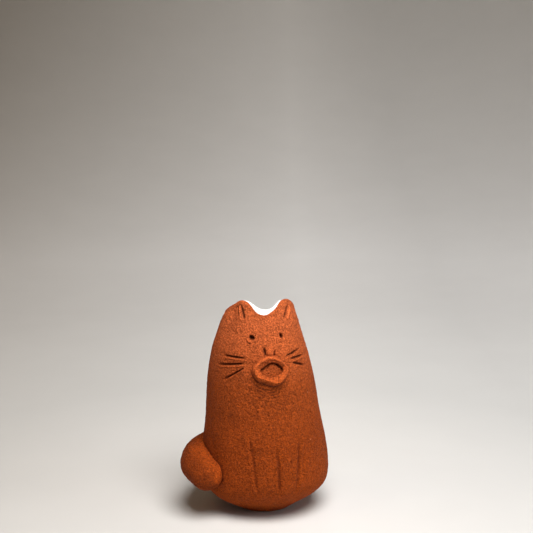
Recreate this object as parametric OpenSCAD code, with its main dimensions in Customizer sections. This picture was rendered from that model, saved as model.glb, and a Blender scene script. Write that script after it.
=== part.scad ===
// Cat-shaped bud vase: hand-built terracotta, white glaze inside.
// Millimetres, +Z up. The cat faces -Y and the origin is the centre of the foot.
// Angles round the body start at the front of the cat and grow towards +X.

/* [Body] */
// Height of the ear tips above the table
vase_h = 64.2; // [58:0.1:72]
// Width of the belly at its widest
belly_w = 38.4; // [36:0.1:42]
// Thickness of the clay wall
wall_t = 3.2; // [2.6:0.1:3.6]
// How far the neck leans to the cat's right
lean = 1.6; // [0:0.1:2.5]

/* [Rim] */
// Depth of the dip between the ears
front_dip = 2.4; // [1.5:0.1:4]
// Depth of the rim at the back below the ear tips
back_dip = 6.4; // [3:0.1:7]
// Angle from the front to each ear tip
ear_turn = 52.5; // [45:7.5:60]
// Thickness of the lip in the front dip
lip_front_t = 3.6; // [3:0.1:4]
// Thickness of the lip at the ear tips
lip_ear_t = 1.8; // [1.4:0.1:2.4]
// Thickness of the lip at the back
lip_back_t = 2.6; // [2:0.1:3.2]

/* [Base slab] */
// Thickness of the slab that closes the bottom
slab_t = 3.5; // [3:0.1:4.5]

/* [Face] */
// Height of the eyes
eye_z = 54.9; // [53:0.1:57]
// Angle from the front to each eye
eye_turn = 20.5; // [17:0.5:24]
// Height of the middle of the nose
nose_z = 50.9; // [50.5:0.1:52]
// Width of the nose
nose_w = 3; // [2.4:0.1:3.6]
// Height of the nose from its lower edge to its upper edge
nose_h = 2.8; // [2.2:0.1:3.2]
// Height of the middle of the mouth
mouth_z = 45.3; // [44.5:0.1:46]
// Width of the mouth ring between the middles of its sides
mouth_w = 7.8; // [6.5:0.1:9]
// Height of the mouth ring between the middles of its lips
mouth_h = 5.7; // [5:0.1:6.5]
// Thickness of the coil that forms the mouth ring
mouth_coil_d = 3; // [2.4:0.1:3.4]

/* [Tail] */
// Height of the middle of the tail
tail_z = 14.7; // [13:0.1:18]
// Thickness of the tail at its rounded tip
tail_tip_d = 10.2; // [9:0.1:12]
// Thickness of the tail where it leaves the back
tail_root_d = 8.4; // [7:0.1:10]
// Angle from the front round to the tail tip
tail_tip_turn = 67; // [60:1:80]
// Angle from the front round to the tail root
tail_root_turn = 175; // [160:1:180]

/* [Glaze] */
// Thickness of the glaze layer
glaze_t = 0.4; // [0.3:0.05:0.5]

/* [Hidden] */

CLAY = "#a8552b";
FACETS = 48;            // flats round the body
OUT_STEPS = 16;         // rings up the outside, and down the inside
LAP_STEPS = 2;          // rings on the bare part of the lip
LIP_STEPS = 5;          // rings on the glazed part of the lip
EDGE_STEPS = 6;         // points up the edge of the base slab
BEAD_FN = 24;           // flats on small rounded shapes

// Body outline: share of the height, share of the half width
OUTLINE = [[0, 0.40], [0.03, 0.54], [0.08, 0.765], [0.125, 0.92], [0.155, 0.975], [0.20, 1.00],
           [0.31, 0.965], [0.47, 0.885], [0.62, 0.83], [0.75, 0.74], [0.84, 0.645], [0.90, 0.58],
           [0.965, 0.49], [1.03, 0.41]];
// Sideways lean of the middle line: share of the height, share of the lean
LEAN = [[0, 0], [0.25, 0], [0.45, -0.3], [0.75, -1], [0.87, -0.9], [1.03, -0.4]];

// Lines cut into the clay, each from [angle, height] to [angle, height]
WHISKERS = [[[-56, 49.2], [-30, 49]], [[-61, 46.1], [-31, 47.4]], [[-51, 42.5], [-29, 46]],
            [[25, 49.1], [46, 49.8]], [[29, 48.1], [50, 48]], [[30, 46.9], [51, 45.5]]];
EAR_LINES = [[[-50, 62], [-37, 59.8]], [[48, 62], [29, 59.6]]];
LEG_LINES = [[[-22, 24], [-15, 10.5]], [[3, 20.8], [1, 11.4]], [[26, 19.7], [19, 10.9]]];
line_depth = 0.45;
line_r = 0.5;           // roundness of the whisker and ear lines
leg_line_r = 0.6;       // roundness of the leg lines
eye_r = 0.75;           // roundness of each eye at the face of the clay
eye_depth = 1.4;
eye_end_r = 0.4;        // roundness of each eye at its bottom
nose_turn = 2;          // angle of the middle of the nose
nose_edge_r = 0.8;      // roundness of the nose at its edge
nose_swell = 0.5;       // how far the middle of the nose stands out beyond its edge
mouth_out = 0.2;        // how far the middle of the mouth coil lies outside the wall
tail_sunk = 1.7;        // how deep the middle of the tail ends up inside the wall
tail_flare = 4;         // how much further out the middle of the tail is at the tip

function mix(a, b, t) = a + (b - a) * t;
function ease(t) = (1 - cos(180 * max(0, min(1, t)))) / 2;
function degrees(length, r) = length / r * 180 / PI;

// Smooth curve through a list of [position, value] stations
function slope(t, i) =
    let(a = max(i - 1, 0), b = min(i + 1, len(t) - 1)) (t[b][1] - t[a][1]) / (t[b][0] - t[a][0]);
function curve(t, x, i = 0) =
    i < len(t) - 2 && x > t[i + 1][0] ? curve(t, x, i + 1) :
    let(h = t[i + 1][0] - t[i][0], u = (x - t[i][0]) / h)
    (2 * u ^ 3 - 3 * u ^ 2 + 1) * t[i][1] + (u ^ 3 - 2 * u ^ 2 + u) * h * slope(t, i)
    + (3 * u ^ 2 - 2 * u ^ 3) * t[i + 1][1] + (u ^ 3 - u ^ 2) * h * slope(t, i + 1);

function radius(z) = belly_w / 2 * curve(OUTLINE, z / vase_h);
function drift(z) = lean * curve(LEAN, z / vase_h);
function place(a, r, z) = [drift(z) + r * sin(a), -r * cos(a), z];
function on_clay(a, z, out = 0) = place(a, radius(z) + out, z);

// Rim height, lip thickness and the point where the glaze begins on the lip, by angle
function side(a) = a > 180 ? 360 - a : a;
function past_ear(a) = (side(a) - ear_turn) / (180 - ear_turn);
function rim_z(a) = vase_h - (side(a) < ear_turn
    ? front_dip * (1 - (side(a) / ear_turn) ^ 1.6)
    : back_dip * (1 - (1 - past_ear(a)) ^ 2.4));
function lip_t(a) = side(a) < ear_turn
    ? mix(lip_front_t, lip_ear_t, ease(side(a) / ear_turn))
    : mix(lip_ear_t, lip_back_t, ease(past_ear(a)));
function lap_angle(a) = mix(25, 90, ease(side(a) / ear_turn));
function lip_z(a) = rim_z(a) - lip_t(a) / 2;

// One point on the rounded lip, turned by w from the outside, raised by a coat
function lip_point(a, w, coat = 0) =
    let(r = lip_t(a) / 2) place(a, radius(lip_z(a)) - r + (r + coat) * cos(w),
                                lip_z(a) + (r + coat) * sin(w));
function level(a, k) = mix(slab_t, lip_z(a), (k / OUT_STEPS) ^ 1.3);
function outside(a, k) = on_clay(a, level(a, k));
function inside(a, k, coat = 0) =
    let(z = k > 0 ? level(a, k) : slab_t + coat,
        t = mix(lip_t(a), wall_t, ease((lip_z(a) - z) / 12)))
    place(a, radius(z) - t - coat, z);

function ring_angles() = [for (j = [0 : FACETS - 1]) 360 * j / FACETS];
function outer_rings() = [for (k = [0 : OUT_STEPS]) [for (a = ring_angles()) outside(a, k)]];
function bare_lip_rings() =
    [for (k = [1 : LAP_STEPS]) [for (a = ring_angles()) lip_point(a, lap_angle(a) * k / LAP_STEPS)]];
function glazed_lip_rings(coat = 0) =
    [for (k = [0 : LIP_STEPS - 1])
        [for (a = ring_angles()) lip_point(a, mix(lap_angle(a), 180, k / LIP_STEPS), coat)]];
function inner_rings(coat = 0) =
    [for (k = [OUT_STEPS : -1 : 0]) [for (a = ring_angles()) inside(a, k, coat)]];
function reversed(list) = [for (i = [len(list) - 1 : -1 : 0]) list[i]];
function rest(list) = [for (i = [1 : len(list) - 1]) list[i]];
function middle(ring) = [for (p = ring) 1] * ring / len(ring);

// Skin over rings of points: closed on itself, or open with a fan over each end
module skin(rings, closed = false) {
    n = len(rings[0]);
    m = len(rings);
    points = concat([for (ring = rings) each ring], [middle(rings[0]), middle(rings[m - 1])]);
    sides = [for (i = [0 : closed ? m - 1 : m - 2], j = [0 : n - 1])
        let(p = i * n + j, q = i * n + (j + 1) % n, up = ((i + 1) % m) * n)
        each [[p, up + j, q], [q, up + j, up + (j + 1) % n]]];
    caps = closed ? [] : [for (j = [0 : n - 1])
        each [[m * n, j, (j + 1) % n], [m * n + 1, (m - 1) * n + (j + 1) % n, (m - 1) * n + j]]];
    polyhedron(closed ? [for (ring = rings) each ring] : points, concat(sides, caps), convexity = 8);
}

// Solid inside the outer face of the wall, which trims what is pressed onto it
module body_core() {
    skin(outer_rings());
}

// Round-bottomed line cut along the clay in two straight strokes
module cut_line(ends, r) {
    function point(t) = on_clay(mix(ends[0][0], ends[1][0], t), mix(ends[0][1], ends[1][1], t),
                                r - line_depth);
    for (half = [0, 1])
        hull()
            for (t = [half / 2, (half + 1) / 2]) translate(point(t)) sphere(r, $fn = 16);
}

// Eye poked with a blunt point
module eye(a) {
    hull() {
        translate(on_clay(a, eye_z)) sphere(eye_r, $fn = BEAD_FN);
        translate(on_clay(a, eye_z, -eye_depth)) sphere(eye_end_r, $fn = BEAD_FN);
    }
}

module body_wall() {
    color(CLAY) difference() {
        skin(concat(outer_rings(), bare_lip_rings(), rest(glazed_lip_rings()), inner_rings()),
             closed = true);
        for (line = concat(WHISKERS, EAR_LINES)) cut_line(line, line_r);
        for (line = LEG_LINES) cut_line(line, leg_line_r);
        for (s = [-1, 1]) eye(s * eye_turn);
    }
}

// Flat round slab that the wall stands on, its edge worked round to the foot
module base_slab() {
    edge = [for (k = [0 : EDGE_STEPS]) let(z = slab_t * k / EDGE_STEPS) [radius(z), z]];
    color("#8f4723") rotate_extrude($fn = 96)
        polygon(concat([[0, 0]], edge, [[0, slab_t]]));
}

// Fat tapered coil pressed round the cat's right haunch
module tail() {
    steps = 11;
    function turn(k) = -mix(tail_tip_turn, tail_root_turn, k / steps);
    function reach(k) = belly_w / 2 - tail_sunk + tail_flare * (1 - k / steps) ^ 2;
    function point(k) = [reach(k) * sin(turn(k)), -reach(k) * cos(turn(k)), tail_z];
    color("#b5602f") difference() {
        for (k = [0 : steps - 1])
            hull()
                for (e = [k, k + 1])
                    translate(point(e)) sphere(d = mix(tail_tip_d, tail_root_d, e / steps), $fn = 32);
        body_core();
    }
}

// Small rounded lump
module nose() {
    petals = 8;
    across = nose_w / 2 - nose_edge_r;
    upward = nose_h / 2 - nose_edge_r;
    function edge_point(k) =
        let(w = 360 * k / petals)
        on_clay(nose_turn + degrees(across * cos(w), radius(nose_z)), nose_z + upward * sin(w));
    color("#c06a38") difference() {
        for (k = [0 : petals - 1])
            hull() {
                for (e = [k, k + 1]) translate(edge_point(e)) sphere(nose_edge_r, $fn = BEAD_FN);
                translate(on_clay(nose_turn, nose_z, nose_swell)) sphere(nose_edge_r, $fn = BEAD_FN);
            }
        body_core();
    }
}

// Coil joined into a ring, pressed on as an open mouth
module mouth_ring() {
    steps = 16;
    function point(k) =
        let(w = 360 * k / steps)
        on_clay(degrees(mouth_w / 2 * cos(w), radius(mouth_z)), mouth_z + mouth_h / 2 * sin(w),
                mouth_out);
    color("#b5602f") difference() {
        for (k = [0 : steps - 1])
            hull()
                for (e = [k, k + 1]) translate(point(e)) sphere(d = mouth_coil_d, $fn = BEAD_FN);
        body_core();
    }
}

// White coat inside the vase, lapped over the lip between the ears
module glaze_lining() {
    color("white") skin(concat(
        reversed(concat(glazed_lip_rings(glaze_t), inner_rings(glaze_t))),
        concat(glazed_lip_rings(), inner_rings())));
}

body_wall();
base_slab();
tail();
nose();
mouth_ring();
glaze_lining();
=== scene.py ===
import math

import bpy
import numpy as np
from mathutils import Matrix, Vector, noise

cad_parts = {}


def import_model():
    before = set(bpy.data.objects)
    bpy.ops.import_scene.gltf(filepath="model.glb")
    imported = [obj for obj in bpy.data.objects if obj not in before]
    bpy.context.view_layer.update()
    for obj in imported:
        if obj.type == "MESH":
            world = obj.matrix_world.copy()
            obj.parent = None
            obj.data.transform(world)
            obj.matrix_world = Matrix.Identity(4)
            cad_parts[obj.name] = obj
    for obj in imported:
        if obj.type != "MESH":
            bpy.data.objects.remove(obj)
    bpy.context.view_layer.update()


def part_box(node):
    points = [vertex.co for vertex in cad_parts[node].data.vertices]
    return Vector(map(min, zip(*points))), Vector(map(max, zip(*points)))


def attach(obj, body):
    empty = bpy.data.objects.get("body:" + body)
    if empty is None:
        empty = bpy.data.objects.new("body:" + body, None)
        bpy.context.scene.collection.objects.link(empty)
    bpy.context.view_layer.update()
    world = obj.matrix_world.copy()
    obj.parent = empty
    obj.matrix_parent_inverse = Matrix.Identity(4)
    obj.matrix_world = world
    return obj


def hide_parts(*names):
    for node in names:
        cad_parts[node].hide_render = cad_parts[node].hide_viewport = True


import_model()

# Shapes are worked out in millimetres and made in metres. Angles round the body start at the
# front of the cat, which faces -Y, and grow towards +X.
MM = 0.001


def box_mm(node):
    low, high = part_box(node)
    return np.array(low) / MM, np.array(high) / MM


wall_low, wall_high = box_mm("body_wall")
tail_low, tail_high = box_mm("tail")

VASE_H = wall_high[2]
BELLY_R = (wall_high[0] - wall_low[0]) / 2
SLAB_T = box_mm("base_slab")[1][2]
TAIL_Z = (tail_low[2] + tail_high[2]) / 2
TAIL_R = (tail_high[2] - tail_low[2]) / 2


# ---------------------------------------------------------------- curves and fields

def curve(stations, x):
    """Smooth curve through a list of [position, value] stations."""
    at, value = np.array(stations, float).T
    slope = np.empty_like(value)
    slope[1:-1] = (value[2:] - value[:-2]) / (at[2:] - at[:-2])
    slope[0] = (value[1] - value[0]) / (at[1] - at[0])
    slope[-1] = (value[-1] - value[-2]) / (at[-1] - at[-2])
    i = np.clip(np.searchsorted(at, x) - 1, 0, len(at) - 2)
    span = at[i + 1] - at[i]
    u = (x - at[i]) / span
    return ((2 * u**3 - 3 * u**2 + 1) * value[i] + (u**3 - 2 * u**2 + u) * span * slope[i]
            + (3 * u**2 - 2 * u**3) * value[i + 1] + (u**3 - u**2) * span * slope[i + 1])


def ring_curve(stations, angle):
    """The same curve round a full turn, through [degrees, value] stations from 0 up to 360."""
    before = [[a - 360, v] for a, v in stations[-2:]]
    after = [[a + 360, v] for a, v in stations[:2]]
    return curve(before + stations + after, np.mod(angle, 360))


def ease(t):
    t = np.clip(t, 0, 1)
    return t * t * (3 - 2 * t)


def mix(a, b, t):
    return a + (b - a) * t


def turned(angle):
    """The same angle between -180 and 180 degrees."""
    return np.mod(angle + 180, 360) - 180


def grain(points, size, seed):
    """Smooth noise between about -1 and 1, with lumps of the given size in millimetres."""
    shift = Vector((seed * 17.3, seed * 5.1, seed * 9.7))
    flat = points.reshape(-1, 3) / size
    values = [noise.noise(Vector(p) + shift) for p in flat]
    return np.array(values).reshape(points.shape[:-1])


def layered(points, layers):
    """Grain in layers, each with its height, the size of its lumps and its seed."""
    return sum(height * grain(points, size, seed) for height, size, seed in layers)


# ---------------------------------------------------------------- body of the vase

# Outline: share of the height, share of the half width
OUTLINE = [[0, 0.40], [0.03, 0.54], [0.08, 0.765], [0.125, 0.92], [0.155, 0.975], [0.20, 1.00],
           [0.31, 0.965], [0.47, 0.885], [0.62, 0.83], [0.75, 0.74], [0.84, 0.645], [0.90, 0.58],
           [0.965, 0.49], [1.03, 0.41]]
# Sideways lean of the middle line: share of the height, millimetres
LEAN = [[0, 0], [0.25, 0], [0.45, -0.5], [0.75, -1.6], [0.87, -1.45], [1.03, -0.65]]
# Drop of the rim below the ear tips, by angle
RIM_DROP = [[0, 2.5], [12, 2.15], [24, 1.0], [38, 0.12], [55, 0.1], [72, 1.3], [90, 2.9],
            [115, 4.6], [150, 6.0], [180, 6.5], [215, 6.0], [248, 4.5], [270, 2.8], [288, 1.3],
            [303, 0.08], [322, 0.5], [337, 1.55], [348, 2.25]]
# Thickness of the lip, by angle
LIP_T = [[0, 3.6], [25, 2.6], [45, 1.9], [70, 1.9], [110, 2.3], [180, 2.6], [250, 2.3],
         [290, 1.9], [315, 1.9], [335, 2.8]]
WALL_T = 3.2
LIP_TAPER = 12      # depth below the lip over which the wall reaches that thickness

# Strokes cut into the clay: start, end as (angle, height), half width, depth, raised lower edge
WHISKERS = [((-56, 48.8), (-27, 48.8), 0.25, 0.85, 0.26),
            ((-63, 45.9), (-28, 47.3), 0.28, 0.90, 0.30),
            ((-52, 42.1), (-28, 46.0), 0.22, 0.75, 0.20),
            ((25, 49.0), (46, 49.9), 0.25, 0.85, 0.26),
            ((30.5, 48.0), (52.5, 48.0), 0.28, 0.90, 0.30),
            ((32.5, 46.8), (52, 45.2), 0.32, 0.85, 0.26)]
EAR_LINES = [((-52, 63.2), (-36.5, 59.4), 0.38, 0.85, 0.50),
             ((-60, 62.6), (-47, 60.0), 0.45, 0.50, 0.15),
             ((49, 62.8), (31, 59.2), 0.38, 0.85, 0.50)]
NOSE_MARKS = [((-3.8, 51.6), (-0.4, 49.0), 0.38, 0.95, 0.0),
              ((8.7, 50.9), (8.2, 48.8), 0.34, 0.80, 0.0)]
CHEEK_LINE = ((-17.6, 47.0), (-16.6, 44.2), 0.35, 0.16, 0.0)
LEG_LINES = [((-22.5, 25.0), (-15.5, 8.5), 0.50, 0.46, 0.20),
             ((2.0, 22.5), (3.4, 9.5), 0.55, 0.62, 0.20),
             ((-1.6, 22.0), (-1.0, 11.0), 0.60, 0.30, 0.06),
             ((25, 23.5), (18.5, 9.5), 0.55, 0.66, 0.20),
             ((28.6, 21.0), (22.8, 12.0), 0.60, 0.30, 0.05)]
# Every stroke: how fast it deepens from its ends, its share of the depth there and the power of
# that taper, how steep its groove is, and the place and width of its raised edge in half widths
STROKE_SWELL = 4.5
STROKE_END = 0.12
TAPER_POWER = 0.6
GROOVE_POWER = 2.4
EDGE_AT = 2.1
EDGE_W = 0.9

# Dents and swellings: angle, height, half angle, half height, push outward
LUMPS = [(-10, 17, 8, 8, 0.30), (11, 16, 7, 8, 0.30), (-62, 5, 27, 4, 1.90), (60, 6.5, 30, 3.5, 0.60),
         (-62, 59.5, 9, 4.5, -0.75), (-88, 60, 14, 2.2, 0.25), (68, 61, 9, 4, -0.20)]
# Layers of grain: height, size, seed
HAND_GRAIN = [(0.22, 14, 1), (0.08, 4.5, 2)]
SURFACE_GRAIN = [(0.06, 1.2, 3), (0.07, 0.6, 4)]


def wall_radius(z):
    """Reach of the plain wall from its middle line, at a height."""
    return BELLY_R * curve(OUTLINE, z / VASE_H)


def place(angle, radius, z):
    """Point at an angle, a reach from the middle line and a height."""
    a = np.radians(angle)
    return np.stack([curve(LEAN, z / VASE_H) + radius * np.sin(a), -radius * np.cos(a),
                     z + 0 * radius], axis=-1)


def stroke(angle, z, cut):
    """Depth that one stroke takes from the clay, and the edge that it raises below itself."""
    (a0, z0), (a1, z1), half_w, depth, burr = cut
    scale = np.radians(wall_radius(np.array((z0 + z1) / 2)))
    ax, ay, bx, by = a0 * scale, z0, a1 * scale, z1
    length = math.hypot(bx - ax, by - ay)
    ux, uy = (bx - ax) / length, (by - ay) / length
    px, py = turned(angle) * scale - ax, z - ay
    along = px * ux + py * uy
    across = (px * uy - py * ux) * (1 if ux > 0 else -1)
    t = np.clip(along / length, 0, 1)
    beyond = along - t * length
    taper = np.clip(STROKE_SWELL * t * (1 - t) + STROKE_END, 0, 1) ** TAPER_POWER
    taper = taper * np.exp(-((beyond / half_w) ** 2))
    groove = depth * np.exp(-np.abs(across / half_w) ** GROOVE_POWER)
    edge = burr * np.exp(-(((across - EDGE_AT * half_w) / (EDGE_W * half_w)) ** 2))
    return taper * (edge - groove)


# Eyes: angle, height, half width, half height, depth, direction and size of the clay pushed aside
EYES = [(-20.6, 54.5, 0.70, 0.56, 2.0, 232, 0.40), (21.6, 54.6, 0.44, 0.66, 1.8, 265, 0.16)]
EYE_SLANT = 0.35        # sideways lean of the hole
EYE_POWER = 1.8         # how steep its edge is
PUSHED_TURN = 42        # half angle that the clay pushed aside takes up round the hole, in degrees
# The clay pushed aside, and the dip outside it: reach from the eye's middle, width, share of size
PUSHED_CLAY = (1.15, 0.42, 1.0)
PUSHED_DIP = (1.75, 0.26, -0.8)


def eye_poke(angle, z, eye):
    """Hole poked with a blunt point, with a crescent of clay pushed up beside it."""
    a0, z0, half_w, half_h, depth, toward, size = eye
    x = turned(angle - a0) * np.radians(wall_radius(np.array(z0)))
    y = z - z0
    hole = np.exp(-(((x + EYE_SLANT * y) / half_w) ** 2 + (y / half_h) ** 2) ** EYE_POWER)
    reach = np.hypot(x, y)
    beside = np.exp(-((turned(np.degrees(np.arctan2(y, x)) - toward) / PUSHED_TURN) ** 2))
    crescent = sum(share * np.exp(-(((reach - middle) / width) ** 2))
                   for middle, width, share in (PUSHED_CLAY, PUSHED_DIP))
    return size * beside * crescent - depth * hole


MOUTH_AT = (1.2, 45.4)      # angle and height


def face_plane(angle, z):
    """Right and up in millimetres on the clay, from the middle of the mouth."""
    middle_angle, middle_z = MOUTH_AT
    return turned(angle - middle_angle) * np.radians(wall_radius(np.array(middle_z))), z - middle_z


# The mouth ring, round its middle: degrees, reach of its outer edge, of its crest and of its
# opening, height of its crest and of the edge of the opening
MOUTH = [[0, 5.6, 4.85, 4.0, 1.3, 0.6], [30, 4.9, 4.0, 3.2, 1.3, 0.3],
         [60, 4.4, 3.5, 2.6, 1.25, 0.2], [90, 4.35, 3.3, 2.1, 1.3, 0.2],
         [120, 4.1, 3.1, 1.85, 1.3, 0.2], [150, 4.5, 3.4, 2.0, 1.35, 0.3],
         [180, 5.2, 4.0, 2.75, 1.6, 0.7], [210, 5.0, 3.65, 2.1, 1.9, 0.5],
         [240, 4.3, 2.95, 1.85, 1.9, 0.4], [262, 4.4, 3.0, 1.9, 2.0, 0.5],
         [290, 4.85, 3.9, 1.95, 2.2, 0.6], [325, 5.2, 4.2, 2.4, 1.8, 0.5]]
# The hollow behind it: how far it reaches under the ring, the width of its edge, its depth at
# the bottom, how much deeper it gets, and the heights from the mouth's middle between which it does
HOLLOW_MARGIN = 0.45
HOLLOW_EDGE = 0.35
HOLLOW_DEPTH = 0.15
HOLLOW_DEEPER = 0.20
HOLLOW_FROM, HOLLOW_TO = -1.9, 2.3
# The crease under the upper lip: its depth, and its width on the viewer's right and left
CREASE_DEPTH = 0.8
CREASE_W = (0.50, 1.10)
# Lines combed round the mouth: depth, spacing, middle and half angle of the stretch they take up,
# sideways skew, and how far from the mouth's middle they start and end, and fade in and out
COMB_DEPTH = 0.24
COMB_STEP = 0.85
COMB_AT, COMB_TURN = 252, 58
COMB_SKEW = 0.12
COMB_FROM, COMB_TO = 4.9, 10.0
COMB_FADE_IN, COMB_FADE_OUT = 0.8, 4.0
# Rough patch on the belly: angle, height, half angle, half height, size and seed of its grain
CRINKLE = (-8, 33, 34, 9, 0.65, 11)
CRINKLE_PUSH = 0.30     # share of the patch's tone that it is raised by, in millimetres
# Painted shade in the leg lines, the combed lines and the crease under the upper lip: how much darker
# the clay is painted for each millimetre of depth
LEG_PAINTED_SHADE, COMB_PAINTED_SHADE, CREASE_PAINTED_SHADE = 0.6, 2.2, 0.75


def mouth_value(column, turn):
    """A column of the mouth's table, at the given degrees round it."""
    return ring_curve([[row[0], row[column]] for row in MOUTH], turn)


def mouth_cavity(angle, z):
    """Hollow pressed into the wall behind the mouth ring, and its crease under the upper lip."""
    x, y = face_plane(angle, z)
    turn = np.degrees(np.arctan2(y, x))
    from_edge = mouth_value(3, turn) - np.hypot(x, y)
    inside = ease((from_edge + HOLLOW_MARGIN) / HOLLOW_EDGE + 0.5)
    width = mix(*CREASE_W, ease((turned(turn - 60) + 10) / 60))
    upper = ease(np.sin(np.radians(turn)) * 1.6 + 0.5)
    under_lip = upper * np.exp(-((np.maximum(from_edge, 0) / width) ** 2))
    deeper = ease((y - HOLLOW_FROM) / (HOLLOW_TO - HOLLOW_FROM))
    return -inside * (HOLLOW_DEPTH + HOLLOW_DEEPER * deeper), -CREASE_DEPTH * inside * under_lip


def combed_marks(angle, z):
    """Fine shallow lines dragged round the underside of the mouth."""
    x, y = face_plane(angle, z)
    reach = np.hypot(x, y)
    under = np.exp(-((turned(np.degrees(np.arctan2(y, x)) - COMB_AT) / COMB_TURN) ** 4))
    near = ease((reach - COMB_FROM) / COMB_FADE_IN) * ease((COMB_TO - reach) / COMB_FADE_OUT)
    broken = ease(0.75 + 0.9 * grain(place(angle, wall_radius(z), z), 1.6, 10))
    wave = 0.5 + 0.5 * np.sin(2 * math.pi * (reach + COMB_SKEW * x) / COMB_STEP)
    return -COMB_DEPTH * under * near * broken * wave


def belly_crinkle(angle, z):
    """Rough patch on the belly, under the mouth, where the clay was smoothed least."""
    a0, z0, half_a, half_z, size, seed = CRINKLE
    patch = np.exp(-((turned(angle - a0) / half_a) ** 2 + ((z - z0) / half_z) ** 2))
    return patch * (0.55 * grain(place(angle, wall_radius(z), z), size, seed) - 0.03)


def clay_marks(angle, z):
    """Everything cut, poked and pressed into the outside of the wall, with painted shade in its hollows
    and a painted highlight on its raised clay.
    """
    push = np.zeros(np.broadcast(angle, z).shape)
    for cut in WHISKERS + EAR_LINES + NOSE_MARKS + [CHEEK_LINE]:
        push = push + stroke(angle, z, cut)
    for eye in EYES:
        push = push + eye_poke(angle, z, eye)
    hollow, crease = mouth_cavity(angle, z)
    soft = sum(stroke(angle, z, cut) for cut in LEG_LINES)
    combed = combed_marks(angle, z)
    crinkled = belly_crinkle(angle, z)
    # Painted shade in the cuts, pokes, leg lines, combed lines, the crease under the upper lip and the
    # low parts of the rough patch, and painted highlight on the raised clay
    dark = -push - LEG_PAINTED_SHADE * soft - COMB_PAINTED_SHADE * combed - CREASE_PAINTED_SHADE * crease - crinkled
    return push + soft + combed + hollow + crease + CRINKLE_PUSH * crinkled, dark


def hand_push(angle, z):
    """Broad unevenness of the hand-built wall, as a distance outward."""
    plain = place(angle, wall_radius(z), z)
    push = layered(plain, HAND_GRAIN)
    for a0, z0, half_a, half_z, out in LUMPS:
        push = push + out * np.exp(-((turned(angle - a0) / half_a) ** 2 + ((z - z0) / half_z) ** 2))
    return push


def rim_height(angle):
    return VASE_H - ring_curve(RIM_DROP, angle)


def lip_point(angle, turn, coat=0.0):
    """Point on the rounded lip, turned up from its outside by so many degrees."""
    half = ring_curve(LIP_T, angle) / 2
    z = rim_height(angle) - half
    t = np.radians(turn)
    return place(angle, wall_radius(z) - half + (half + coat) * np.cos(t), z + (half + coat) * np.sin(t))


def inner_point(angle, share, coat=0.0):
    """Point on the inside of the wall, from the floor (share 0) up to the lip (share 1)."""
    lip = ring_curve(LIP_T, angle)
    top = rim_height(angle) - lip / 2
    z = mix(SLAB_T + coat, top, share)
    thickness = mix(lip, WALL_T, ease((top - z) / LIP_TAPER))
    return place(angle, wall_radius(z) - thickness - coat, z)


COLUMNS = 396
FRONT_BIAS = 0.60       # how much closer together the columns are at the front
spin = np.linspace(0, 2 * math.pi, COLUMNS, endpoint=False)
ANGLES = np.degrees(spin - FRONT_BIAS * np.sin(spin))


# ---------------------------------------------------------------- mesh making

def skin(name, rows, closed=False, caps=True, tone=None):
    """Mesh over rows of points that each go round once, in millimetres.

    Caps close the first and the last row. Tone is the painted shade at each point, below 0 for a painted
    highlight.
    """
    m, n = rows.shape[:2]
    points = rows.reshape(-1, 3)
    i, j = np.meshgrid(np.arange(m if closed else m - 1), np.arange(n), indexing="ij")
    nxt, up = (j + 1) % n, ((i + 1) % m) * n
    faces = np.stack([i * n + j, i * n + nxt, up + nxt, up + j], axis=-1).reshape(-1, 4).tolist()
    if caps and not closed:
        points = np.vstack([points, rows[0].mean(axis=0), rows[-1].mean(axis=0)])
        last = (m - 1) * n
        faces += [[m * n, (k + 1) % n, k] for k in range(n)]
        faces += [[m * n + 1, last + k, last + (k + 1) % n] for k in range(n)]
    mesh = bpy.data.meshes.new(name)
    mesh.from_pydata((points * MM).tolist(), [], faces)
    mesh.validate()
    mesh.polygons.foreach_set("use_smooth", [True] * len(mesh.polygons))
    mesh.update()
    if signed_volume(mesh) < 0:
        mesh.flip_normals()
    if tone is not None:
        shades = np.zeros(len(mesh.vertices))
        shades[:tone.size] = tone.ravel()
        mesh.attributes.new("tone", "FLOAT", "POINT").data.foreach_set("value", shades)
    piece = bpy.data.objects.new(name, mesh)
    bpy.context.scene.collection.objects.link(piece)
    return piece


def signed_volume(mesh):
    """Six times the volume inside the mesh, below 0 where its faces point inward."""
    mesh.calc_loop_triangles()
    corners = np.empty(len(mesh.loop_triangles) * 3, int)
    mesh.loop_triangles.foreach_get("vertices", corners)
    co = np.empty(len(mesh.vertices) * 3)
    mesh.vertices.foreach_get("co", co)
    a, b, c = co.reshape(-1, 3)[corners].reshape(-1, 3, 3).transpose(1, 0, 2)
    return np.einsum("ij,ij->i", a, np.cross(b, c)).sum()


def finish_piece(piece, node, material):
    """Gives a piece its material and its place in the frame."""
    piece.data.materials.append(material)
    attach(piece, "root")
    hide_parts(node)


# ---------------------------------------------------------------- materials

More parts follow.
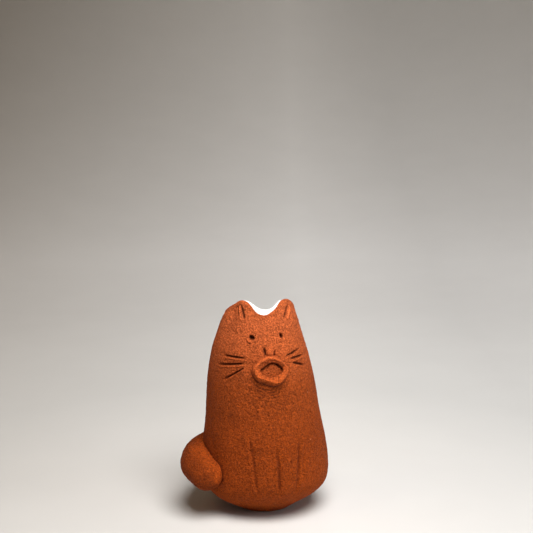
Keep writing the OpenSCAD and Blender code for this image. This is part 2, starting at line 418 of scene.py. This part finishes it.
class Nodes:
    """A material's node tree, with short calls for the nodes used here."""

    def __init__(self, name):
        self.material = bpy.data.materials.new(name)
        self.material.use_nodes = True
        self.tree = self.material.node_tree
        self.shader = self.tree.nodes["Principled BSDF"]
        self.position = self.add("ShaderNodeTexCoord").outputs["Object"]

    def add(self, kind, inputs=None, **settings):
        node = self.tree.nodes.new(kind)
        for key, value in settings.items():
            setattr(node, key, value)
        for key, value in (inputs or {}).items():
            self.set(node.inputs[key], value)
        return node

    def set(self, socket, value):
        if isinstance(value, bpy.types.NodeSocket):
            self.tree.links.new(value, socket)
        else:
            socket.default_value = value

    def noise(self, size_mm, detail=3.0, rough=0.55, stretch=None, turn=(0, 0, 0)):
        """Noise with lumps of the given size, in millimetres, or drawn out into streaks."""
        place_in = self.position
        if stretch:
            place_in = self.add("ShaderNodeMapping", {"Vector": self.position, "Scale": stretch,
                                                      "Rotation": turn}).outputs[0]
        return self.add("ShaderNodeTexNoise", {"Vector": place_in, "Scale": 1 / (size_mm * MM),
                                               "Detail": detail, "Roughness": rough}).outputs["Fac"]

    def cells(self, size_mm):
        """Distance to the nearest of some points scattered about so many millimetres apart."""
        inputs = {"Vector": self.position, "Scale": 1 / (size_mm * MM)}
        return self.add("ShaderNodeTexVoronoi", inputs).outputs["Distance"]

    def measure(self, operation, other=(0, 0, 0)):
        """A number worked out from the position, and from another vector if it takes one."""
        inputs = {0: self.position, 1: other}
        return self.add("ShaderNodeVectorMath", inputs, operation=operation).outputs["Value"]

    def ramp(self, factor, stops):
        """Colour ramp through (position, colour or grey) stops."""
        node = self.add("ShaderNodeValToRGB", {"Fac": factor})
        while len(node.color_ramp.elements) < len(stops):
            node.color_ramp.elements.new(0.5)
        for element, (at, colour) in zip(node.color_ramp.elements, stops):
            element.position = at
            grey = isinstance(colour, (int, float))
            element.color = (colour,) * 3 + (1,) if grey else (*colour, 1)
        return node.outputs["Color"]

    def blend(self, factor, a, b, mode="MIX"):
        node = self.add("ShaderNodeMix", data_type="RGBA", blend_type=mode)
        for index, value in ((0, factor), (6, a), (7, b)):
            self.set(node.inputs[index], value)
        return node.outputs[2]

    def math(self, operation, a, b):
        node = self.add("ShaderNodeMath", operation=operation)
        self.set(node.inputs[0], a)
        self.set(node.inputs[1], b)
        return node.outputs[0]

    def bump(self, height, strength, depth_mm, after=None):
        inputs = {"Height": height, "Strength": strength, "Distance": depth_mm * MM}
        if after:
            inputs["Normal"] = after
        return self.add("ShaderNodeBump", inputs).outputs["Normal"]


# Colour of the clay with painted top light, paler up high and darker and more saturated towards the
# foot: share of the height, colour
CLAY_WITH_PAINTED_TOPLIGHT = [(0.05, (0.30, 0.050, 0.0042)), (0.35, (0.245, 0.040, 0.0034)),
         (0.62, (0.29, 0.052, 0.0072)), (0.90, (0.48, 0.102, 0.0280))]
# Unevenness of that colour: size of the patches in millimetres, detail, roughness, gains
SHADES = [(7, 4, 0.55, [(0.32, 0.94), (0.52, 1.0), (0.72, 1.05)]),
          (0.75, 3, 0.65, [(0.30, 0.86), (0.50, 1.0), (0.72, 1.16)]),
          (0.42, 2, 0.6, [(0.34, 0.60), (0.50, 1.0), (0.66, 1.42)])]
PALE_FLECK = (0.75, 0.33, 0.16, 1)
# Colour that the painted shade darkens the clay towards, and the gain of the painted highlight
PAINTED_SHADE_COLOUR = (0.045, 0.008, 0.003, 1)
PAINTED_HIGHLIGHT_GAIN = 1.45


def clay_colour(n):
    """Clay colour with painted top light, paler at the ears and darker and redder at the foot, painted
    shade where the tone is high and painted highlights where it is below 0.
    """
    height = n.add("ShaderNodeSeparateXYZ", {"Vector": n.position}).outputs["Z"]
    # Painted top light: the clay is paler towards the ears and darker, redder towards the foot
    colour = n.ramp(n.math("DIVIDE", height, VASE_H * MM), CLAY_WITH_PAINTED_TOPLIGHT)
    for size, detail, rough, gains in SHADES:
        colour = n.blend(1.0, colour, n.ramp(n.noise(size, detail, rough), gains), "MULTIPLY")
    flecks = n.math("MULTIPLY", n.ramp(n.cells(6.0), [(0.03, 1.0), (0.045, 0.0)]), 0.4)
    colour = n.blend(flecks, colour, PALE_FLECK)
    tone = n.add("ShaderNodeAttribute", attribute_name="tone").outputs["Fac"]
    # Painted highlight: the clay is brightened, up to the gain, where the tone is below 0
    painted_highlight = n.ramp(n.math("MULTIPLY", tone, -1.0), [(0.02, 1.0 / PAINTED_HIGHLIGHT_GAIN), (0.45, 1.0)])
    gain = n.blend(1.0, painted_highlight, (PAINTED_HIGHLIGHT_GAIN,) * 3 + (1,), "MULTIPLY")
    colour = n.blend(1.0, colour, gain, "MULTIPLY")
    # Painted shade: the clay is blended towards a dark colour where the tone is high
    return n.blend(n.ramp(tone, [(0.10, 0.0), (0.60, 0.75)]), colour, PAINTED_SHADE_COLOUR)


def clay_bumps(n):
    """Broad and fine unevenness, patches of combed scratches, and pin holes."""
    broad = n.bump(n.noise(1.6, 3), 1.0, 0.28)
    fine = n.bump(n.noise(0.6, 3, 0.65), 1.0, 1.0, broad)
    combed = n.noise(0.45, 2, 0.5, stretch=(1.0, 1.0, 0.22), turn=(0.0, 0.7, 0.0))
    patches = n.ramp(n.noise(6, 2), [(0.48, 0.0), (0.62, 1.0)])
    scratched = n.bump(n.math("MULTIPLY", combed, patches), 1.0, 0.5, fine)
    pits = n.ramp(n.cells(1.3), [(0.05, 0.0), (0.2, 1.0)])
    return n.bump(pits, 0.9, 0.2, scratched)


def terracotta():
    n = Nodes("terracotta")
    n.set(n.shader.inputs["Base Color"], clay_colour(n))
    n.set(n.shader.inputs["Roughness"], n.ramp(n.noise(2.0), [(0.3, 0.80), (0.7, 0.95)]))
    n.shader.inputs["Specular IOR Level"].default_value = 0.1
    n.set(n.shader.inputs["Normal"], clay_bumps(n))
    return n.material


def white_glaze():
    n = Nodes("white_glaze")
    tint = n.ramp(n.noise(5, 3), [(0.3, (0.90, 0.89, 0.86)), (0.7, (0.95, 0.95, 0.94))])
    n.set(n.shader.inputs["Base Color"], tint)
    n.set(n.shader.inputs["Roughness"], n.ramp(n.noise(3, 2), [(0.3, 0.16), (0.7, 0.30)]))
    n.shader.inputs["Coat Weight"].default_value = 0.15
    n.shader.inputs["Coat Roughness"].default_value = 0.08
    n.set(n.shader.inputs["Normal"], n.bump(n.noise(2.5, 2), 0.35, 0.12))
    return n.material


# The paper under and behind the vase, with painted shade: share of its reach, colour; and gain from side
# to side
PAPER = [(0.03, (0.64, 0.63, 0.615)), (0.12, (0.65, 0.65, 0.64)), (0.35, (0.96, 0.955, 0.945)),
         (1.0, (0.72, 0.67, 0.60))]
PAPER_SIDES = [(0.41, 0.84), (0.48, 1.0), (0.72, (0.46, 0.425, 0.385))]
PAPER_DARKER = (-0.98, 0.17, 0.0)       # direction in which the painted shade on the paper deepens


def pale_sweep(reach):
    """Pale studio paper with painted shade, darker close round the vase and far from it, and on the
    viewer's left.
    """
    n = Nodes("pale_sweep")
    shade = n.ramp(n.math("DIVIDE", n.measure("LENGTH"), reach), PAPER)
    across = n.math("DIVIDE", n.measure("DOT_PRODUCT", PAPER_DARKER), reach)
    shade = n.blend(1.0, shade, n.ramp(n.math("ADD", across, 0.5), PAPER_SIDES), "MULTIPLY")
    n.set(n.shader.inputs["Base Color"], n.blend(0.06, shade, n.noise(30, 3), "MULTIPLY"))
    n.shader.inputs["Roughness"].default_value = 0.9
    n.set(n.shader.inputs["Normal"], n.bump(n.noise(1.5, 3), 0.1, 0.05))
    return n.material


# ---------------------------------------------------------------- pieces

# Rows up the outside of the wall, closest together over the face: row, share of the height
WALL_ROWS = [[0, 0], [88, 0.55], [205, 0.93], [224, 1]]
TAIL_CREASE_PAINTED_SHADE = 0.45        # painted shade on the wall in the crease where the tail is pressed on
SMOOTH_BELOW_LIP = 1.5  # height over which the marks and the grain fade out below the lip
LIP_GRAIN = (0.04, 1.3, 3)      # height, size, seed


def body_wall():
    row_at, row_share = np.array(WALL_ROWS).T
    share = np.interp(np.arange(row_at[-1] + 1), row_at, row_share)[:, None]
    lip_start = lip_point(ANGLES, 0)[:, 2]
    z = mix(SLAB_T, lip_start, share)
    angle = np.broadcast_to(ANGLES, z.shape)
    marks, dark = clay_marks(angle, z)
    push = hand_push(angle, z) + marks + layered(place(angle, wall_radius(z), z), SURFACE_GRAIN)
    outside = place(angle, wall_radius(z) + push * ease((lip_start - z) / SMOOTH_BELOW_LIP), z)
    # Painted shade on the wall in the crease round the tail
    dark = dark + TAIL_CREASE_PAINTED_SHADE * tail_crease(outside)
    turns = np.linspace(0, 180, 16)[1:, None]
    lip = lip_point(ANGLES, turns, layered(lip_point(ANGLES, turns), [LIP_GRAIN]))
    inside = inner_point(ANGLES, np.linspace(1, 0, 10)[1:, None])
    return skin("wall", np.concatenate([outside, lip, inside]), closed=True, tone=dark)


FOOT_ROUND = 0.2        # how far the foot is rounded off
SLAB_INSET = 1.5        # how far in from the edge the plain disc of each flat face begins


def base_slab():
    z = SLAB_T * np.linspace(1, 0.06, 12)[:, None] + 0 * ANGLES
    angle = np.broadcast_to(ANGLES, z.shape)
    plain = place(angle, wall_radius(z), z)
    push = hand_push(angle, z) + layered(plain, SURFACE_GRAIN)
    edge = place(angle, wall_radius(z) + push * ease(z / 2 + 0.3), z)
    foot_r = wall_radius(np.array(0.0))
    foot = [place(ANGLES, foot_r - inset + 0 * ANGLES, 0 * ANGLES) for inset in (FOOT_ROUND, SLAB_INSET)]
    top_r = wall_radius(np.array(SLAB_T)) - SLAB_INSET
    top = place(ANGLES, top_r + 0 * ANGLES, SLAB_T + 0 * ANGLES)
    return skin("slab", np.concatenate([top[None], edge, np.stack(foot)]))


# Where the glaze begins on the lip, in degrees up from its outside, by angle
LAP = [[0, 20], [11, 45], [22, 62], [33, 92], [45, 122], [62, 115], [90, 95], [180, 95], [270, 95],
       [298, 115], [312, 108], [327, 62], [340, 20], [349, 10]]
GLAZE_T = 0.28          # how far the glaze stands off the clay
GLAZE_SUNK = 0.10       # how far its edge lies in the clay
GLAZE_UNDER = 0.3       # how far its back lies in the clay
GLAZE_EDGE = 34         # degrees of the lip over which it thins out to its edge


def glaze_lining():
    lap = ring_curve(LAP, ANGLES)
    share = np.linspace(0, 1, 20)[:, None] ** 1.3
    turns = mix(lap, 180, share)
    coat = mix(-GLAZE_SUNK, GLAZE_T, ease((turns - lap) / GLAZE_EDGE)) * np.ones_like(turns)
    lip = lip_point(ANGLES, turns, coat)
    inside = inner_point(ANGLES, np.linspace(1, 0, 40)[1:, None], GLAZE_T)
    centre = inside[-1].mean(axis=0)
    floor = [mix(inside[-1], centre, t) for t in (0.06, 0.3, 0.6)]
    low_centre = centre - [0, 0, 0.5]
    under_floor = [mix(inner_point(ANGLES, 0.0, -0.2), low_centre, t) for t in (0.6, 0.0)]
    backing = inner_point(ANGLES, np.linspace(0, 1, 8)[1:, None], -GLAZE_UNDER)
    under_lip = lip_point(ANGLES, mix(180, lap, np.linspace(0, 1, 8)[:, None]), -GLAZE_UNDER)
    rows = [np.stack(under_floor), backing, under_lip, lip, inside, np.stack(floor)]
    return skin("glaze", np.concatenate(rows))


FACE_TILT = 18          # how much the pieces on the face point up, in degrees


def on_face(x, y, out):
    """Point on the face, right and up of the middle of the mouth, and out from the clay."""
    z = MOUTH_AT[1] + y
    angle = MOUTH_AT[0] + np.degrees(x / wall_radius(np.array(MOUTH_AT[1])))
    tilt = np.radians(FACE_TILT)
    radius = wall_radius(z) + hand_push(angle, z)
    return place(angle, radius + out * math.cos(tilt), z + out * math.sin(tilt))


def spline(knots, steps):
    """Points along a smooth open curve through the knots, which lie along the first axis."""
    knots = np.concatenate([knots[:1], knots, knots[-1:]])
    t = np.linspace(0, 1, steps, endpoint=False)
    parts = []
    for a, b, c, d in zip(knots, knots[1:], knots[2:], knots[3:]):
        for u in t:
            parts.append(0.5 * (2 * b + (c - a) * u + (2 * a - 5 * b + 4 * c - d) * u**2
                                + (3 * b - a - 3 * c + d) * u**3))
    return np.stack(parts + [knots[-2]])


MOUTH_GRAIN = [(0.12, 2.2, 6), (0.07, 0.7, 7)]      # height, size, seed
UNDERLIP_PAINTED_SHADOW = 0.60   # painted shadow on the outer side of the lower lip, below its crest
CREST_PAINTED_HIGHLIGHT = 0.42     # painted highlight on the crest and the high parts of the ring


def ring_section(outer, crest, opening, crest_h, edge_h):
    """Reach and height of the ring's section, from its buried outer edge over the crest and in."""
    none = 0 * outer
    return np.stack([
        np.stack([outer + 0.35, none - 0.5]),
        np.stack([outer, none + 0.05]),
        np.stack([mix(outer, crest, 0.45), 0.62 * crest_h]),
        np.stack([crest, crest_h]),
        np.stack([mix(crest, opening, 0.5), mix(crest_h, edge_h, 0.48)]),
        np.stack([opening, edge_h]),
        np.stack([opening + 0.15, none - 0.5]),
        np.stack([opening + 0.9, none - 1.9]),
    ])


def mouth_ring():
    turn = np.linspace(0, 360, 240, endpoint=False)
    outer, crest, opening, crest_h, edge_h = (mouth_value(k, turn) for k in range(1, 6))
    r, h = spline(ring_section(outer, crest, opening, crest_h, edge_h), 7).transpose(1, 0, 2)
    t = np.radians(turn)
    smooth = on_face(r * np.cos(t), r * np.sin(t), h)
    rows = on_face(r * np.cos(t), r * np.sin(t), h + layered(smooth, MOUTH_GRAIN))
    outer_side = r > crest
    # Painted shade where the ring meets the wall, and painted shadow under the lower lip
    buried = np.maximum(0.1 - h, 0)
    underside = UNDERLIP_PAINTED_SHADOW * ease(-np.sin(t) * 2.5) * ease(1 - h / crest_h) * outer_side
    # Painted highlight: outside the crest the lower lip gets half of it, and inside the crest only the
    # lower lip gets it
    highlight_reach = np.where(outer_side, mix(0.5, 1, np.sin(t) > 0), np.sin(t) < 0.2)
    painted_highlight = CREST_PAINTED_HIGHLIGHT * ease(h / crest_h * 1.6 - 0.3) * highlight_reach
    return skin("mouth", rows, closed=True, tone=buried + underside - painted_highlight)


# The nose: its middle from the middle of the mouth, its reach by angle, and its height
NOSE_AT = (0.65, 5.4)
NOSE_REACH = [[0, 1.2], [45, 1.5], [90, 1.55], [135, 1.35], [180, 1.2], [225, 1.5], [270, 1.45],
              [315, 1.35]]
NOSE_H = 0.95
NOSE_TOP = 0.40         # height of its upper end, as a share of its lower end's
# Painted highlight: the whole nose is made lighter than the wall
NOSE_TONE = -0.20


def nose():
    turn = np.linspace(0, 360, 96, endpoint=False)
    t = np.radians(turn)
    share = np.linspace(1.12, 0.03, 30)[:, None]
    x = share * ring_curve(NOSE_REACH, turn) * np.cos(t)
    y = share * ring_curve(NOSE_REACH, turn) * np.sin(t)
    steep = mix(3.6, 1.6, ease(0.5 + 0.6 * np.sin(t)))
    h = NOSE_H * (1 - share**steep) * mix(1, NOSE_TOP, ease((y + 1.1) / 2.6)) - 0.05
    smooth = on_face(NOSE_AT[0] + x, NOSE_AT[1] + y, h)
    front = on_face(NOSE_AT[0] + x, NOSE_AT[1] + y, h + 0.09 * grain(smooth, 0.8, 8))
    back = on_face(NOSE_AT[0] + 0.3 * x[:1], NOSE_AT[1] + 0.3 * y[:1], h[:1] - 0.7)
    rows = np.concatenate([back, front])
    return skin("nose_lump", rows, tone=np.full(rows.shape[:2], NOSE_TONE))


# The tail's middle line: angle from the front towards -X, reach beyond the belly, rise, radius
TAIL = [[61, 2.6, -0.9, 0.91], [76, 2.1, 0.3, 1.0], [98, 0.3, 0.5, 1.0], [125, -0.6, 0.4, 0.97],
        [176, -1.7, 0, 0.82]]
TAIL_GRAIN = (0.25, 7, 9)       # height, size, seed
TAIL_SHADED, TAIL_PAINTED_HIGHLIGHT = 0.27, -0.26      # painted shade on the side away from the light, and painted highlight on the side facing it
CREASE_REACH = 0.9      # how far from the tail the painted shade on the wall reaches
CAP_ROWS = 16
TAIL_BURIED = 0.5       # how deep the tail reaches into the wall at most


def tail_line(count):
    """Middle line of the tail and its radius."""
    step = np.linspace(TAIL[0][0], TAIL[-1][0], count)
    out, rise, size = (curve([[row[0], row[k]] for row in TAIL], step) for k in (1, 2, 3))
    reach = BELLY_R + out
    a = np.radians(-step)
    return np.stack([reach * np.sin(a), -reach * np.cos(a), TAIL_Z + rise], axis=-1), TAIL_R * size


def tail_crease(points):
    """How close the clay of the wall is to the tail: 1 where they touch."""
    middle, radius = tail_line(40)
    gap = np.full(points.shape[:-1], 99.0)
    for centre, r in zip(middle, radius):
        gap = np.minimum(gap, np.linalg.norm(points - centre, axis=-1) - r)
    return np.exp(-((np.maximum(gap, 0) / CREASE_REACH) ** 2))


def tail():
    middle, radius = tail_line(150)
    along = np.gradient(middle, axis=0)
    along /= np.linalg.norm(along, axis=1)[:, None]
    quarter = np.linspace(0.06, 1, CAP_ROWS) * math.pi / 2
    cap = np.sin(quarter)
    cap_at = np.cos(quarter)
    tip = middle[0] - along[0] * (radius[0] * cap_at)[:, None]
    end = middle[-1] + along[-1] * (radius[-1] * cap_at[::-1])[:, None]
    middle = np.concatenate([tip, middle, end])
    radius = np.concatenate([radius[0] * cap, radius, radius[-1] * cap[::-1]])
    along = np.concatenate([np.tile(along[0], (CAP_ROWS, 1)), along,
                            np.tile(along[-1], (CAP_ROWS, 1))])
    outward = np.cross(along, (0.0, 0.0, 1.0))
    outward /= np.linalg.norm(outward, axis=1)[:, None]
    upward = np.cross(outward, along)
    w = np.linspace(0, 2 * math.pi, 120, endpoint=False)[None, :, None]
    normal = outward[:, None] * np.cos(w) + upward[:, None] * np.sin(w)
    rows = middle[:, None] + radius[:, None, None] * normal
    push = layered(rows, [TAIL_GRAIN]) + layered(rows, SURFACE_GRAIN)
    # Share of the painted highlight, by how far the surface faces right and up
    painted_highlight = ease(0.25 + 0.8 * normal[..., 0] + 0.4 * normal[..., 2])
    return skin("tail_coil", pressed_on(rows + push[..., None] * normal),
                tone=mix(TAIL_SHADED, TAIL_PAINTED_HIGHLIGHT, painted_highlight))


def pressed_on(points):
    """Moves what would lie deep in the wall out to just under its face."""
    x = points[..., 0] - curve(LEAN, points[..., 2] / VASE_H)
    y = points[..., 1]
    reach = np.hypot(x, y)
    least = wall_radius(points[..., 2]) - TAIL_BURIED
    scale = np.maximum(least / reach, 1)
    return np.stack([points[..., 0] + x * (scale - 1), y * scale, points[..., 2]], axis=-1)


clay = terracotta()
glaze = white_glaze()
finish_piece(body_wall(), "body_wall", clay)
finish_piece(base_slab(), "base_slab", clay)
finish_piece(tail(), "tail", clay)
finish_piece(nose(), "nose", clay)
finish_piece(mouth_ring(), "mouth_ring", clay)
finish_piece(glaze_lining(), "glaze_lining", glaze)


# ---------------------------------------------------------------- stage, lights and camera

def sweep(reach):
    """Round pale sheet that curves up on every side, well clear of the vase."""
    turn = np.radians(np.linspace(0, 90, 24))
    corner = 0.75 * reach
    r = np.concatenate([[0.02 * reach, 0.12 * reach], reach - corner + corner * np.sin(turn), [reach]])
    z = np.concatenate([[0, 0], corner - corner * np.cos(turn), [reach * 1.6]])
    a = np.radians(np.linspace(0, 360, 96, endpoint=False))
    rows = np.stack([r[:, None] * np.cos(a), r[:, None] * np.sin(a), z[:, None] + 0 * a], axis=-1)
    sheet = skin("sweep", rows / MM, caps=False)
    cap = bpy.data.meshes.new("sweep_middle")
    cap.from_pydata([tuple(p) for p in rows[0]], [], [list(range(len(a)))])
    middle = bpy.data.objects.new("sweep_middle", cap)
    bpy.context.scene.collection.objects.link(middle)
    for piece in (sheet, middle):
        piece.data.materials.append(pale_sweep(reach))


MIDDLE_HEIGHT = 0.030       # height that the camera and the lights are aimed at, in metres


def area_light(name, azimuth, elevation, distance, size, power, colour, aim=(0, 0, MIDDLE_HEIGHT)):
    """Round soft light that stands off from the point it is aimed at."""
    light = bpy.data.lights.new(name, "AREA")
    light.shape = "DISK"
    light.size = size
    light.energy = power
    light.color = colour
    lamp = bpy.data.objects.new(name, light)
    a, e = math.radians(azimuth), math.radians(elevation)
    back = Vector((math.sin(a) * math.cos(e), -math.cos(a) * math.cos(e), math.sin(e)))
    lamp.location = Vector(aim) + back * distance
    lamp.rotation_euler = back.to_track_quat("Z", "Y").to_euler()
    bpy.context.scene.collection.objects.link(lamp)


# The camera looks down at the middle of the vase, and is then turned from it by some degrees
CAMERA_AZIMUTH, CAMERA_ELEVATION = -10.0, 17.0
CAMERA_DISTANCE = 0.380
TURNED_UP, TURNED_RIGHT = 6.39, 0.09


def camera():
    data = bpy.data.cameras.new("camera")
    data.lens = 85.0
    data.sensor_width = 36.0
    eye = bpy.data.objects.new("camera", data)
    a, e = math.radians(CAMERA_AZIMUTH), math.radians(CAMERA_ELEVATION)
    eye.location = (CAMERA_DISTANCE * math.cos(e) * math.sin(a),
                    -CAMERA_DISTANCE * math.cos(e) * math.cos(a),
                    MIDDLE_HEIGHT + CAMERA_DISTANCE * math.sin(e))
    eye.rotation_euler = (math.radians(90 - CAMERA_ELEVATION + TURNED_UP), 0,
                          math.radians(CAMERA_AZIMUTH - TURNED_RIGHT))
    bpy.context.scene.collection.objects.link(eye)
    bpy.context.scene.camera = eye


def world(colour, strength):
    sky = bpy.data.worlds.new("studio")
    sky.use_nodes = True
    background = sky.node_tree.nodes["Background"]
    background.inputs["Color"].default_value = (*colour, 1)
    background.inputs["Strength"].default_value = strength
    bpy.context.scene.world = sky


sweep(1.1)
# Azimuth and elevation in degrees, distance and size in metres, power in watts, colour
area_light("key", 11, 63, 0.50, 0.38, 4.7, (1.0, 0.98, 0.96))
area_light("right_fill", 60, 10, 0.60, 0.30, 0.8, (0.88, 0.94, 1.0))
area_light("left_fill", -80, 50, 0.60, 0.30, 0.3, (1.0, 0.72, 0.42))
area_light("backdrop", 170, 0, 0.50, 0.40, 2.1, (1.0, 0.96, 0.90), aim=(0.12, 0.95, 0.42))
world((0.85, 0.82, 0.79), 0.12)
camera()
bpy.context.scene.view_settings.view_transform = "Standard"
